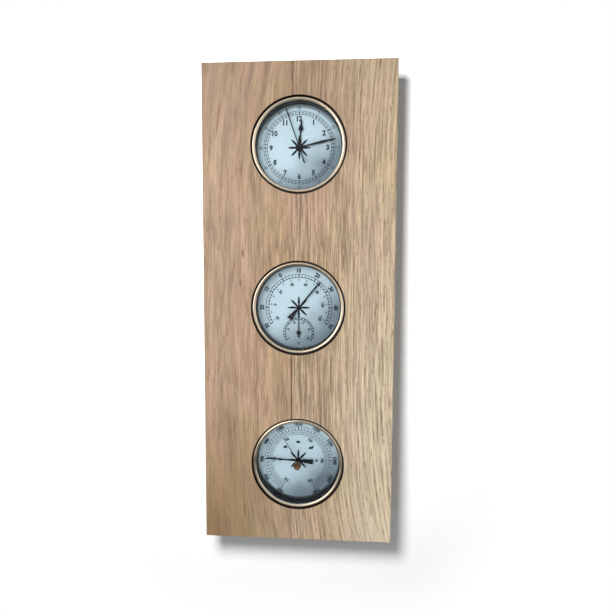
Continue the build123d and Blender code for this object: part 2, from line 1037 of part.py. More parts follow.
os.makedirs("parts", exist_ok=True)
for name, build in (board_nodes | shared_nodes).items():
    export_step(build(), "parts/" + name + ".step")
stations = (
    (clock_station, clock_nodes),
    (thermometer_station, thermometer_nodes),
    (barometer_station, barometer_nodes),
)
for height, nodes in stations:
    for name, build in nodes.items():
        export_step(placed(build(), height), "parts/" + name + ".step")
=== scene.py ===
import json
from math import asin, cos, degrees, pi, radians, sin

import bmesh
import bpy
from mathutils import Matrix, Vector

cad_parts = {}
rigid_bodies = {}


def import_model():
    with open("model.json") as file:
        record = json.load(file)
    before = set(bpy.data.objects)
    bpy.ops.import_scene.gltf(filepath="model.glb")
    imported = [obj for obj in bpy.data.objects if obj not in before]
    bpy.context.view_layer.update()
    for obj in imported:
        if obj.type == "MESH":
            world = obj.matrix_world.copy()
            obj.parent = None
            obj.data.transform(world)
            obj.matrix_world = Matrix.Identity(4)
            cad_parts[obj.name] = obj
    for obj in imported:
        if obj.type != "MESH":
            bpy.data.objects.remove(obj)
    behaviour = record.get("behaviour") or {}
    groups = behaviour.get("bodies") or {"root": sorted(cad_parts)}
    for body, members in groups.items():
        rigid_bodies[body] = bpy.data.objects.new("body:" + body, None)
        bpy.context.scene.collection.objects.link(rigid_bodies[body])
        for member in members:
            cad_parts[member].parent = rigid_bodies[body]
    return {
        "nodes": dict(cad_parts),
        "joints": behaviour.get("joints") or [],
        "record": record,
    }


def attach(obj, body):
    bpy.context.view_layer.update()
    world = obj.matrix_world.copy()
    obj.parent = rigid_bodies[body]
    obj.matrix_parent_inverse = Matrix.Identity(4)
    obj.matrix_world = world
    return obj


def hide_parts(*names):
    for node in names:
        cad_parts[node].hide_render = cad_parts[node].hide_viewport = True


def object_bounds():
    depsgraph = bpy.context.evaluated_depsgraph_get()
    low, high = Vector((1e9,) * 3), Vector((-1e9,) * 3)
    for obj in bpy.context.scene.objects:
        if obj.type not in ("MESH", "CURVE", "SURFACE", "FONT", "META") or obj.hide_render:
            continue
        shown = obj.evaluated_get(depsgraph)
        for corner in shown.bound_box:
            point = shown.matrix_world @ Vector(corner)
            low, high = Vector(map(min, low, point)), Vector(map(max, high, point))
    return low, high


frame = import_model()
sizeAtLoad = [list(corner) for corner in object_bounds()]
scene = bpy.context.scene
nodes = frame["nodes"]
pivots = {joint["name"]: Vector(joint["pos_m"]) for joint in frame["joints"]}
dialAxes = ("minute_turn", "thermometer_turn", "barometer_turn")  # upper, middle and lower instrument
mm = 0.001
print("frame loaded:", len(nodes), "nodes")


# Small helpers for node trees. A value may be a number, a colour or another node's output.

def plug(tree, socket, value):
    if isinstance(value, bpy.types.NodeSocket):
        tree.links.new(value, socket)
    else:
        socket.default_value = value


def addNode(tree, kind, options=None, **values):
    node = tree.nodes.new(kind)
    for key, value in (options or {}).items():
        setattr(node, key, value)
    for key, value in values.items():
        plug(tree, node.inputs[key.replace("_", " ")], value)
    return node


def calc(tree, operation, *values):
    node = addNode(tree, "ShaderNodeMath", {"operation": operation})
    for socket, value in zip(node.inputs, values):
        plug(tree, socket, value)
    return node.outputs[0]


def times(tree, first, second):
    return calc(tree, "MULTIPLY", first, second)


def apart(tree, first, second):
    return calc(tree, "ABSOLUTE", calc(tree, "SUBTRACT", first, second))


def squares(tree, first, second):
    # first squared plus second squared
    return calc(tree, "MULTIPLY_ADD", first, first, times(tree, second, second))


def remap(tree, value, low, high, toLow=0.0, toHigh=1.0):
    node = addNode(tree, "ShaderNodeMapRange", {"interpolation_type": "SMOOTHSTEP"}, Value=value)
    for key, number in zip(("From Min", "From Max", "To Min", "To Max"), (low, high, toLow, toHigh)):
        plug(tree, node.inputs[key], number)
    return node.outputs[0]


def spread(tree, spots, low, high):
    # a noise lies mostly between 0.3 and 0.7: this stretches it from low to high
    return remap(tree, spots, 0.3, 0.7, low, high)


def mixColours(tree, factor, first, second, mode="MIX"):
    node = addNode(tree, "ShaderNodeMix", {"data_type": "RGBA", "blend_type": mode})
    for index, value in ((0, factor), (6, first), (7, second)):
        if isinstance(value, tuple) and len(value) == 3:
            value = (*value, 1)
        plug(tree, node.inputs[index], value)
    return node.outputs[2]


def mixShaders(tree, factor, first, second):
    node = addNode(tree, "ShaderNodeMixShader", Fac=factor)
    plug(tree, node.inputs[1], first)
    plug(tree, node.inputs[2], second)
    return node.outputs[0]


def brighten(tree, colour, factor):
    node = addNode(tree, "ShaderNodeVectorMath", {"operation": "SCALE"})
    plug(tree, node.inputs[0], colour)
    plug(tree, node.inputs["Scale"], factor)
    return node.outputs[0]


def noise(tree, place, scale, detail=2.0, roughness=0.5):
    # scale: spots per metre, one number or one for each axis
    if isinstance(scale, tuple):
        place = addNode(tree, "ShaderNodeMapping", Vector=place, Scale=scale).outputs[0]
        scale = 1.0
    return addNode(
        tree, "ShaderNodeTexNoise", Vector=place, Scale=scale, Detail=detail, Roughness=roughness
    ).outputs[0]


def startMaterial(name, **values):
    # the values are those of the shader that are the same all over
    material = bpy.data.materials.new(name)
    material.use_nodes = True
    tree = material.node_tree
    shader = tree.nodes["Principled BSDF"]
    for key, value in values.items():
        shader.inputs[key.replace("_", " ")].default_value = value
    place = addNode(tree, "ShaderNodeTexCoord").outputs["Object"]
    return material, tree, shader, place


def addBump(tree, shader, height, distance, strength=0.5):
    bump = addNode(tree, "ShaderNodeBump", Height=height, Distance=distance, Strength=strength)
    plug(tree, shader.inputs["Normal"], bump.outputs[0])


def fromDialAxis(tree, x, z):
    # height and distance from the axis of the nearest instrument, in metres
    upper, middle, height = (pivots[name].z for name in dialAxes)
    for level, below in ((middle, height), (upper, middle)):
        above = calc(tree, "GREATER_THAN", z, (level + below) / 2)
        height = calc(tree, "MULTIPLY_ADD", above, level - below, height)
    rise = calc(tree, "SUBTRACT", z, height)
    return rise, calc(tree, "SQRT", squares(tree, x, rise))


# Oak: rings round a heart that lies off the board, so the end grain follows by itself.
# Spots and streaks are counted per metre. A streak has a number across the fibres and one along them.

oakGrain = {
    "shine": 0.35, "roughness": (0.5, 0.75), "bump": 0.00018,
    "bow": 6.5,  # how much the fibres lean outwards towards both ends, 1/m cubed
    "bowMiddle": -0.150,
    "bowAcross": (-0.02, 0.06, 0.3, 1.0),  # from this x to that one the bow grows between these shares
    "wander": 0.003, "wanderSpots": (18, 18, 5),
    "ringStreaks": (70, 7), "ringWarp": 4.0,
    "earlyEnds": (0.12, 0.6), "earlyStarts": 0.93,  # places within one growth ring
    "finePores": (1500, 150), "fineShown": (0.56, 0.64), "fineDark": 0.75,
    "longPores": (900, 60), "longShown": (0.58, 0.66), "latePores": 0.25,
    "cloudSpots": (34, 34, 11), "warmCloud": (1.0, 0.955, 0.97), "coolCloud": (1.01, 1.01, 0.93),
    "streaks": ((110, 4), (420, 10), (1050, 27)),  # wide, medium and thin
    "mediumTone": (-0.55, 0.4), "thinTone": (-1.15, 0.8),
    "topShade": (-0.100, 0.016, 1.0, 0.88),  # the board is darker towards its top edge
    "endStreaks": (0.09, 0.21, 1.0, 0.62),  # the streaks are softer towards both ends
    "seam": -0.005, "seamWidth": 0.0011, "seamColour": (0.070, 0.030, 0.014),
    "seamShows": ((-0.237, 0.028, 0.95), (0.004, 0.014, 0.65)), "seamElsewhere": 0.15,
    "seamBreaks": (40, 40, 110),
    # painted shade in the rebates round the instruments, near black: it stands in for the shadow in the gap
    # round each bezel
    "paintedGapShade": (0.012, 0.005, 0.003), "paintedGapShadeRadius": 0.03714, "paintedGapShadeEdge": 0.0002,
}
leftOak = {
    "inner": (0.468, 0.318, 0.200), "outer": (0.474, 0.327, 0.221),
    "innerLow": (0.430, 0.318, 0.200), "outerLow": (0.270, 0.170, 0.083),
    "outwards": (-0.005, -0.068), "downwards": (-0.21, -0.37),  # where the tone changes, in x and in z
    "early": (0.365, 0.235, 0.140), "pore": (0.190, 0.108, 0.058),
    "heart": (-0.030, 0.040), "tilt": 0.10, "ringWidth": 0.0062, "ringContrast": 0.30,
    "streaks": 0.14, "streakLength": 0.45, "middleStreaks": 1.55, "dashes": 0.50,
    "lean": (2.0, 5.0), "tongues": 0.14,
    "marks": [  # x, z, half width and half height
        (-0.0436, -0.129, 0.0012, 0.0035), (-0.0452, -0.1525, 0.0011, 0.003),
        (-0.0430, -0.337, 0.0009, 0.006),
    ],
}
rightOak = {
    "inner": (0.466, 0.322, 0.209), "outer": (0.590, 0.450, 0.310),
    "innerLow": (0.468, 0.352, 0.234), "outerLow": (0.650, 0.550, 0.405),
    "outwards": (0.015, 0.062), "downwards": (-0.05, -0.30),
    "early": (0.390, 0.262, 0.158), "pore": (0.225, 0.135, 0.075),
    "heart": (-0.150, 0.030), "tilt": 0.05, "ringWidth": 0.0034, "ringContrast": 0.26,
    "streaks": 0.25, "streakLength": 0.75, "middleStreaks": 1.4, "dashes": 0.78,
    "lean": (1.0, 1.1), "tongues": 0.07,
    "marks": [
        (0.0696, -0.0215, 0.0007, 0.0035), (0.0584, -0.2214, 0.0007, 0.003),
        (0.0600, -0.1750, 0.0006, 0.003), (0.0640, -0.1300, 0.0005, 0.003),
    ],
}


def streak(tree, fibre, across, along, detail=2.0):
    # a noise drawn out along the fibres
    return noise(tree, fibre, (across, across, along), detail, 0.6)


def oakMaterial(name, look, grain=oakGrain):
    material, tree, shader, place = startMaterial(name, Specular_IOR_Level=grain["shine"])
    x, y, z = addNode(tree, "ShaderNodeSeparateXYZ", Vector=place).outputs

    # fibres lean outwards towards the ends, and wander a little
    rise = calc(tree, "SUBTRACT", z, grain["bowMiddle"])
    leanLow, leanTop = (grain["bow"] * lean for lean in look["lean"])
    bow = calc(tree, "MULTIPLY_ADD", calc(tree, "GREATER_THAN", rise, 0.0), leanTop - leanLow, leanLow)
    bow = times(tree, calc(tree, "POWER", calc(tree, "ABSOLUTE", rise), 4.0), bow)
    bow = times(tree, bow, remap(tree, x, *grain["bowAcross"]))
    drift = calc(tree, "SUBTRACT", noise(tree, place, grain["wanderSpots"], 1), 0.5)
    sideways = calc(tree, "MULTIPLY_ADD", drift, grain["wander"], calc(tree, "SUBTRACT", x, bow))
    fibre = addNode(tree, "ShaderNodeCombineXYZ", X=sideways, Y=y, Z=z).outputs[0]

    # growth rings
    heartX, heartY = look["heart"]
    offX = calc(tree, "SUBTRACT", sideways, heartX)
    offY = calc(tree, "MULTIPLY_ADD", rise, -look["tilt"], calc(tree, "SUBTRACT", y, heartY))
    rings = calc(tree, "DIVIDE", calc(tree, "SQRT", squares(tree, offX, offY)), look["ringWidth"])
    warp = streak(tree, fibre, *grain["ringStreaks"], 1)
    phase = calc(tree, "FRACT", calc(tree, "MULTIPLY_ADD", warp, grain["ringWarp"], rings))
    early = remap(tree, phase, *grain["earlyEnds"], 1, 0)
    early = calc(tree, "MAXIMUM", early, remap(tree, phase, grain["earlyStarts"], 1))

    # pores: short dark dashes that crowd in the early wood
    fine = remap(tree, streak(tree, fibre, *grain["finePores"], 1), *grain["fineShown"])
    long = remap(tree, streak(tree, fibre, *grain["longPores"]), *grain["longShown"])
    pores = calc(tree, "MAXIMUM", times(tree, fine, grain["fineDark"]), long)
    pores = times(tree, pores, remap(tree, early, 0, 1, grain["latePores"], 1.0))
    pores = times(tree, pores, look["dashes"])

    # the tone changes over the stave, with warmer and cooler clouds
    outwards = remap(tree, x, *look["outwards"])
    upper = mixColours(tree, outwards, look["inner"], look["outer"])
    lower = mixColours(tree, outwards, look["innerLow"], look["outerLow"])
    colour = mixColours(tree, remap(tree, z, *look["downwards"]), upper, lower)
    clouds = remap(tree, noise(tree, fibre, grain["cloudSpots"]), 0.35, 0.65)
    clouds = mixColours(tree, clouds, grain["warmCloud"], grain["coolCloud"])
    colour = mixColours(tree, 1.0, colour, clouds, "MULTIPLY")
    colour = mixColours(tree, times(tree, early, look["ringContrast"]), colour, look["early"])

    # streaks of three widths run along the fibres
    wide, medium, thin = (
        streak(tree, fibre, across, along / look["streakLength"]) for across, along in grain["streaks"]
    )
    change = calc(tree, "ADD", *(
        remap(tree, streaks, 0.32, 0.68, *(look["streaks"] * share for share in grain[key]))
        for streaks, key in ((medium, "mediumTone"), (thin, "thinTone"))
    ))
    ends = remap(tree, calc(tree, "ABSOLUTE", rise), *grain["endStreaks"])
    inwards = remap(tree, calc(tree, "ABSOLUTE", x), 0.025, 0.050, look["middleStreaks"], 1.0)
    change = times(tree, change, times(tree, ends, inwards))
    tone = calc(tree, "ADD", change, spread(tree, wide, 1 - look["tongues"], 1 + look["tongues"]))
    tone = times(tree, tone, remap(tree, z, *grain["topShade"]))
    colour = mixColours(tree, pores, brighten(tree, colour, tone), look["pore"])

    # small dark marks, and the glue line where it shows
    for markX, markZ, halfWidth, halfHeight in look["marks"]:
        offX = calc(tree, "DIVIDE", calc(tree, "SUBTRACT", x, markX), halfWidth)
        offZ = calc(tree, "DIVIDE", calc(tree, "SUBTRACT", z, markZ), halfHeight)
        off = calc(tree, "ADD", squares(tree, offX, offZ), spread(tree, medium, -0.5, 0.8))
        colour = mixColours(tree, remap(tree, off, 0.2, 1.6, 0.7, 0), colour, look["pore"])
    seam = remap(tree, apart(tree, x, grain["seam"]), 0, grain["seamWidth"], 1, 0)
    shows = grain["seamElsewhere"]
    for middle, half, strength in grain["seamShows"]:
        here = remap(tree, apart(tree, z, middle), half * 0.85, half * 1.1, strength, 0)
        shows = calc(tree, "MAXIMUM", shows, here)
    broken = remap(tree, noise(tree, place, grain["seamBreaks"]), 0.36, 0.56, 0.7, 1.0)
    seam = times(tree, times(tree, seam, broken), shows)
    colour = mixColours(tree, seam, colour, grain["seamColour"])

    # painted shade: the wood inside each instrument's rebate is painted near black, standing in for the shadow
    # in the gap round each bezel
    pastGapShade = grain["paintedGapShadeRadius"] + grain["paintedGapShadeEdge"]
    away = remap(tree, fromDialAxis(tree, x, z)[1], grain["paintedGapShadeRadius"], pastGapShade)
    plug(tree, shader.inputs["Base Color"], mixColours(tree, away, grain["paintedGapShade"], colour))

    plug(tree, shader.inputs["Roughness"], remap(tree, pores, 0, 1, *grain["roughness"]))
    height = calc(tree, "MULTIPLY_ADD", pores, -1.0, times(tree, thin, 0.5))
    addBump(tree, shader, height, grain["bump"], 0.6)
    return material


def colourBase(tree, shader, colour, shade):
    base = addNode(tree, "ShaderNodeRGB")
    base.outputs[0].default_value = (*colour, 1)
    plug(tree, shader.inputs["Base Color"], brighten(tree, base.outputs[0], shade))


# Metals: a colour, a shine that varies, and fine scratches that run along one axis

metals = {
    "bezelGold": {"colour": (0.50, 0.42, 0.315), "roughness": (0.30, 0.42), "grain": (900, 900, 900)},
    "polishedBrass": {"colour": (0.74, 0.52, 0.22), "roughness": (0.14, 0.30), "grain": (700, 700, 700)},
    "agedBrass": {"colour": (0.150, 0.095, 0.055), "roughness": (0.30, 0.50), "grain": (900, 900, 900)},
    "stampedBrass": {"colour": (0.66, 0.50, 0.24), "roughness": (0.30, 0.45), "grain": (300, 2400, 300)},
    "zincSteel": {
        "colour": (0.40, 0.40, 0.39), "roughness": (0.34, 0.52), "grain": (180, 180, 1600), "depth": 0.00002,
    },
    "springSteel": {"colour": (0.38, 0.38, 0.39), "roughness": (0.22, 0.40), "grain": (2600, 500, 500)},
    "cellSteel": {"colour": (0.72, 0.72, 0.71), "roughness": (0.12, 0.24), "grain": (1200, 200, 1200)},
    "capsuleMetal": {"colour": (0.62, 0.58, 0.46), "roughness": (0.25, 0.42), "grain": (600, 600, 600)},
}


def metalMaterial(name, look):
    material, tree, shader, place = startMaterial(name, Metallic=1.0)
    wear = noise(tree, place, 120, 3)
    grain = noise(tree, place, look["grain"])
    shade = calc(tree, "ADD", spread(tree, wear, 0.90, 1.03), spread(tree, grain, -0.04, 0.04))
    colourBase(tree, shader, look["colour"], shade)
    plug(tree, shader.inputs["Roughness"], spread(tree, wear, *look["roughness"]))
    addBump(tree, shader, grain, look.get("depth", 0.00001))
    return material


# Plastics and lacquers: a colour with a faint mottle, and the grain of the mould or the spray

coats = {
    "casePlastic": {"colour": (0.008, 0.010, 0.012), "roughness": (0.38, 0.50), "grain": 2600, "shine": 0.25},
    "capPlastic": {"colour": (0.030, 0.030, 0.033), "roughness": (0.42, 0.58), "grain": 3200, "depth": 0.00003},
    "wheelPlastic": {"colour": (0.72, 0.72, 0.68), "roughness": (0.35, 0.50), "grain": 2000, "depth": 0.00001},
    "handLacquer": {"colour": (0.003, 0.005, 0.008), "roughness": (0.45, 0.55), "grain": 4000, "shine": 0.10},
    "dialInk": {"colour": (0.005, 0.010, 0.018), "roughness": (0.55, 0.75), "grain": 6000, "shine": 0.08},
}


def coatMaterial(name, look):
    material, tree, shader, place = startMaterial(name, Specular_IOR_Level=look.get("shine", 0.5))
    mottle = noise(tree, place, 160, 3)
    colourBase(tree, shader, look["colour"], spread(tree, mottle, 0.85, 1.15))
    plug(tree, shader.inputs["Roughness"], spread(tree, mottle, *look["roughness"]))
    addBump(tree, shader, noise(tree, place, look["grain"]), look.get("depth", 0.000003))
    return material


# Dial sheet: pale blue silver, finely brushed from side to side, with painted shade towards its lower right and
# painted shade along one side of each rim

dialSheet = {
    "light": (0.500, 0.620, 0.690),
    # painted shade: the colour the sheet darkens to towards its lower right
    "paintedShadeColour": (0.170, 0.225, 0.265),
    "paintedShadeTowards": 142,  # degrees clockwise from the top
    "from": -0.0015, "to": 0.0285, "cloudSpots": 40, "cloudReach": 0.004,
    "paintedRimShadeColour": (0.010, 0.014, 0.018), "rimWidth": 0.0014, "rimRise": (0.006, 0.026),
    # painted shade along one side of each rim, upper to lower dial: where it starts, how strong it is, on which
    # side
    "paintedRimShades": ((0.0300, 0.60, 1.0), (0.0314, 0.60, -1.0), (0.0304, 0.95, -1.0)),
    "halfHeight": 0.045,  # no dial reaches farther up or down than this
    "brushing": (60, 60, 2600), "shades": (0.95, 1.05), "roughness": (0.44, 0.56), "depth": 0.000006,
    "metallic": 0.12,
}


def dialMaterial(name, look):
    material, tree, shader, place = startMaterial(name, Metallic=look["metallic"])
    x, y, z = addNode(tree, "ShaderNodeSeparateXYZ", Vector=place).outputs
    rise, away = fromDialAxis(tree, x, z)
    # painted shade: the sheet grows darker towards its lower right, as if less light fell there
    towards = radians(look["paintedShadeTowards"])
    reach = calc(tree, "MULTIPLY_ADD", x, sin(towards), times(tree, rise, cos(towards)))
    clouds = spread(tree, noise(tree, place, look["cloudSpots"]), -look["cloudReach"], look["cloudReach"])
    reach = remap(tree, calc(tree, "ADD", reach, clouds), look["from"], look["to"])
    colour = mixColours(tree, reach, look["light"], look["paintedShadeColour"])
    # painted shade along one side of each rim, where the case wall and the bezel shade the dial
    for axis, (start, strength, side) in zip(dialAxes, look["paintedRimShades"]):
        up = calc(tree, "SUBTRACT", z, pivots[axis].z)
        here = calc(tree, "LESS_THAN", calc(tree, "ABSOLUTE", up), look["halfHeight"])
        rim = times(tree, remap(tree, away, start, start + look["rimWidth"]), here)
        rim = times(tree, rim, remap(tree, times(tree, up, side), *look["rimRise"]))
        colour = mixColours(tree, times(tree, rim, strength), colour, look["paintedRimShadeColour"])
    brushing = noise(tree, place, look["brushing"])
    colour = brighten(tree, colour, spread(tree, brushing, *look["shades"]))
    plug(tree, shader.inputs["Base Color"], colour)
    plug(tree, shader.inputs["Roughness"], spread(tree, brushing, *look["roughness"]))
    addBump(tree, shader, brushing, look["depth"])
    return material


# Window glass: it lets the lamps' light through to the dial

windowGlass = {"colour": (0.97, 0.99, 0.99), "roughness": (0.01, 0.03), "bending": 1.2, "smears": 90}


def glassMaterial(name, look):
    colour = (*look["colour"], 1)
    material, tree, shader, place = startMaterial(
        name, Base_Color=colour, Transmission_Weight=1.0, IOR=look["bending"]
    )
    smear = noise(tree, place, look["smears"])
    plug(tree, shader.inputs["Roughness"], remap(tree, smear, 0.45, 0.75, *look["roughness"]))
    clear = addNode(tree, "ShaderNodeBsdfTransparent", Color=colour)
    path = addNode(tree, "ShaderNodeLightPath")
    lets = calc(tree, "MAXIMUM", path.outputs["Is Shadow Ray"], path.outputs["Is Diffuse Ray"])
    mixed = mixShaders(tree, lets, shader.outputs[0], clear.outputs[0])
    plug(tree, tree.nodes["Material Output"].inputs["Surface"], mixed)
    return material


finishMakers = [("oakBrown", oakMaterial, leftOak), ("oakLight", oakMaterial, rightOak)]
finishMakers += [(name, metalMaterial, look) for name, look in metals.items()]
finishMakers += [(name, coatMaterial, look) for name, look in coats.items()]
finishMakers += [("dialSilver", dialMaterial, dialSheet), ("windowGlass", glassMaterial, windowGlass)]
finishes = {name: make(name, look) for name, make, look in finishMakers}
slotFinish = {
    "oak_brown": "oakBrown", "oak_light": "oakLight", "zinc_steel": "zincSteel",
    "spring_steel": "springSteel", "case_black": "casePlastic", "cap_black": "capPlastic",
    "champagne": "bezelGold", "window_glass": "windowGlass", "dial_silver": "dialSilver",
    "hand_black": "handLacquer", "brass": "polishedBrass", "wheel_brass": "stampedBrass",
    "wheel_plastic": "wheelPlastic", "cell_steel": "cellSteel", "capsule_metal": "capsuleMetal",
}
nodeFinish = {"set_hand": "handLacquer", "set_knob": "agedBrass"}
for part in frame["record"]["subparts"]:
    mesh = nodes[part["node"]].data
    mesh.materials.clear()
    mesh.materials.append(finishes[nodeFinish.get(part["node"], slotFinish[part["material_slot"]])])
print("finishes made:", len(finishes))


# Mesh helpers. Small pieces are drawn in mm in a dial's frame: x right, y up, z towards the viewer.

asDrawn = Matrix.Identity(4)


def addObject(name, data):
    obj = bpy.data.objects.new(name, data)
    scene.collection.objects.link(obj)
    return obj


def onDial(pivotName):
    return Matrix.Translation(pivots[pivotName]) @ Matrix.Rotation(pi / 2, 4, "X") @ Matrix.Scale(mm, 4)


def placed(mesh, place):
    mesh.transform(place)
    return mesh


def moved(mesh, x=0, y=0, z=0, turn=0):
    return placed(mesh, Matrix.Translation((x, y, z)) @ Matrix.Rotation(radians(turn), 4, "Z"))


def toMesh(build):
    mesh = bpy.data.meshes.new("piece")
    build.to_mesh(mesh)
    build.free()
    return mesh


def joined(meshes):
    build = bmesh.new()
    for mesh in meshes:
        build.from_mesh(mesh)
        bpy.data.meshes.remove(mesh)
    return build


def plateMesh(outline, low, high):
    # a flat plate with this outline, counterclockwise
    build = bmesh.new()
    bottom = [build.verts.new((x, y, low)) for x, y in outline]
    top = [build.verts.new((x, y, high)) for x, y in outline]
    build.faces.new(top)
    build.faces.new(bottom[::-1])
    for i in range(len(outline)):
        j = (i + 1) % len(outline)
        build.faces.new((bottom[i], bottom[j], top[j], top[i]))
    bmesh.ops.triangulate(build, faces=[face for face in build.faces if len(face.verts) > 4])
    return toMesh(build)


def latheMesh(profile, segments):
    # a closed profile of (radius, height) points, counterclockwise, turned round z
    build = bmesh.new()
    rings = []
    for step in range(segments):
        angle = 2 * pi * step / segments
        rings.append([build.verts.new((r * cos(angle), r * sin(angle), h)) for r, h in profile])
    for step in range(segments):
        here, there = rings[step], rings[(step + 1) % segments]
        for i in range(len(profile)):
            j = (i + 1) % len(profile)
            build.faces.new((here[i], there[i], there[j], here[j]))
    bmesh.ops.remove_doubles(build, verts=build.verts, dist=1e-5)
    bmesh.ops.recalc_face_normals(build, faces=build.faces)
    return toMesh(build)


def rectangle(left, low, right, high):
    return [(left, low), (right, low), (right, high), (left, high)]


def ringMesh(radius, width, low, high, segments):
    return latheMesh(rectangle(radius - width / 2, low, radius + width / 2, high), segments)


def disc(radius, count, centre=(0, 0)):
    return [
        (centre[0] + radius * cos(2 * pi * i / count), centre[1] + radius * sin(2 * pi * i / count))
        for i in range(count)
    ]


def roundedProfile(corners, radius, steps=4):
    # softens each corner of a closed profile by a small curve
    points = []
    for i, corner in enumerate(corners):
        corner = Vector(corner)
        before = Vector(corners[i - 1]) - corner
        after = Vector(corners[(i + 1) % len(corners)]) - corner
        reach = min(radius, before.length * 0.45, after.length * 0.45)
        start = corner + before.normalized() * reach
        end = corner + after.normalized() * reach
        for step in range(steps + 1):
            t = step / steps
            points.append(tuple(start * (1 - t) ** 2 + corner * 2 * t * (1 - t) + end * t ** 2))
    return points


def evaluated(data, tree=None, values=()):
    # the plain mesh that a curve gives, or a mesh with a node tree on it
    holder = addObject("holder", data)
    if tree:
        modifier = holder.modifiers.new("copies", "NODES")
        modifier.node_group = tree
        for item in tree.interface.items_tree:
            if item.in_out == "INPUT" and item.name in values:
                modifier[item.identifier] = values[item.name]
    bpy.context.view_layer.update()
    made = bpy.data.meshes.new_from_object(holder.evaluated_get(bpy.context.evaluated_depsgraph_get()))
    bpy.data.batch_remove([holder, data])
    return made


def finishPiece(name, meshes, place, finish, body="wall_board", smooth=False, replaced=()):
    # joins the meshes into one piece with its place in its mesh
    build = joined(meshes)
    bmesh.ops.transform(build, matrix=place, verts=build.verts)
    mesh = toMesh(build)
    mesh.materials.clear()
    mesh.materials.append(finishes[finish])
    if smooth:
        mesh.shade_smooth()
        mesh.set_sharp_from_angle(angle=radians(smooth))
    obj = addObject(name, mesh)
    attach(obj, body)
    if replaced:
        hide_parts(*replaced)


# Geometry Nodes: copies of a shape round a circle, the first one at the top, clockwise

def ringTree():
    tree = bpy.data.node_groups.new("ringOfCopies", "GeometryNodeTree")
    for name, kind in (
        ("Shape", "NodeSocketGeometry"), ("Count", "NodeSocketInt"), ("Radius", "NodeSocketFloat"),
        ("First Angle", "NodeSocketFloat"), ("Step Angle", "NodeSocketFloat"), ("Skip Every", "NodeSocketInt"),
        ("Finish", "NodeSocketMaterial"),
    ):
        tree.interface.new_socket(name=name, in_out="INPUT", socket_type=kind)
    tree.interface.new_socket(name="Copies", in_out="OUTPUT", socket_type="NodeSocketGeometry")
    given = tree.nodes.new("NodeGroupInput").outputs
    index = tree.nodes.new("GeometryNodeInputIndex").outputs[0]
    angle = calc(tree, "MULTIPLY_ADD", index, given["Step Angle"], given["First Angle"])
    place = addNode(
        tree, "ShaderNodeCombineXYZ",
        X=times(tree, calc(tree, "SINE", angle), given["Radius"]),
        Y=times(tree, calc(tree, "COSINE", angle), given["Radius"]),
    ).outputs[0]
    points = addNode(tree, "GeometryNodePoints", Count=given["Count"], Position=place).outputs[0]
    spin = addNode(tree, "ShaderNodeCombineXYZ", Z=times(tree, angle, -1.0)).outputs[0]
    turn = addNode(tree, "FunctionNodeEulerToRotation", Euler=spin).outputs[0]
    kept = calc(tree, "GREATER_THAN", calc(tree, "FLOORED_MODULO", index, given["Skip Every"]), 0.5)
    copies = addNode(
        tree, "GeometryNodeInstanceOnPoints",
        Points=points, Selection=kept, Instance=given["Shape"], Rotation=turn,
    ).outputs[0]
    real = addNode(tree, "GeometryNodeRealizeInstances", Geometry=copies).outputs[0]
    dressed = addNode(tree, "GeometryNodeSetMaterial", Geometry=real, Material=given["Finish"]).outputs[0]
    plug(tree, tree.nodes.new("NodeGroupOutput").inputs[0], dressed)
    return tree


ringOfCopies = ringTree()


def copiesRound(shape, count, radius, first=0.0, step=None, skipEvery=None, finish="dialInk"):
    # the tree drops copy 0 and then each skipEvery-th one; to keep all, one more is made before the first
    step = 360 / count if step is None else step
    if skipEvery is None:
        count, first, skipEvery = count + 1, first - step, count + 2
    return evaluated(shape, ringOfCopies, {
        "Count": count, "Radius": float(radius), "First Angle": radians(first), "Step Angle": radians(step),
        "Skip Every": skipEvery, "Finish": finishes[finish],
    })


# Prints: thin raised ink on the dial sheets

ink = {"low": 0.01, "high": 0.045, "bold": 0.045, "narrow": 0.9, "curveSteps": 3, "extrude": 0.01}


def inkPlate(outline):
    return plateMesh(outline, ink["low"], ink["high"])


def finishPrint(name, meshes, axis):
    finishPiece(name, meshes, onDial(axis), "dialInk")


def tick(width, length):
    return inkPlate(rectangle(-width / 2, -length / 2, width / 2, length / 2))


def onCircle(radius, angle):
    # degrees clockwise from the top
    return radius * sin(radians(angle)), radius * cos(radians(angle))


def number(text, height, bold):
    # digits of this height, centred on the origin; bold widens their strokes
    curve = bpy.data.curves.new("number", "FONT")
    curve.body = text
    curve.align_x, curve.align_y = "CENTER", "CENTER"
    curve.resolution_u, curve.extrude, curve.offset = ink["curveSteps"], ink["extrude"], bold
    mesh = evaluated(curve)
    corners = [vert.co for vert in mesh.vertices]
    low, high = min(corner.y for corner in corners), max(corner.y for corner in corners)
    middle = (min(corner.x for corner in corners) + max(corner.x for corner in corners)) / 2
    size, thick = height / (high - low), (ink["high"] - ink["low"]) / (2 * ink["extrude"])
    return placed(
        mesh,
        Matrix.Translation((0, 0, (ink["high"] + ink["low"]) / 2))
        @ Matrix.Diagonal((size * ink["narrow"], size, thick, 1))
        @ Matrix.Translation((-middle, -(low + high) / 2, 0)),
    )


def numberAt(text, height, radius, angle, upright=False, bold=ink["bold"]):
    x, y = onCircle(radius, angle)
    return moved(number(text, height, bold), x, y, turn=0 if upright else -angle)


star = {
    "rays": 8, "reach": 9.3, "width": 1.85, "disc": 1.08,
    "footWidth": 0.32, "belly": 0.45, "tipWidth": 0.30, "tip": 0.86,  # shares of the width and the reach
}


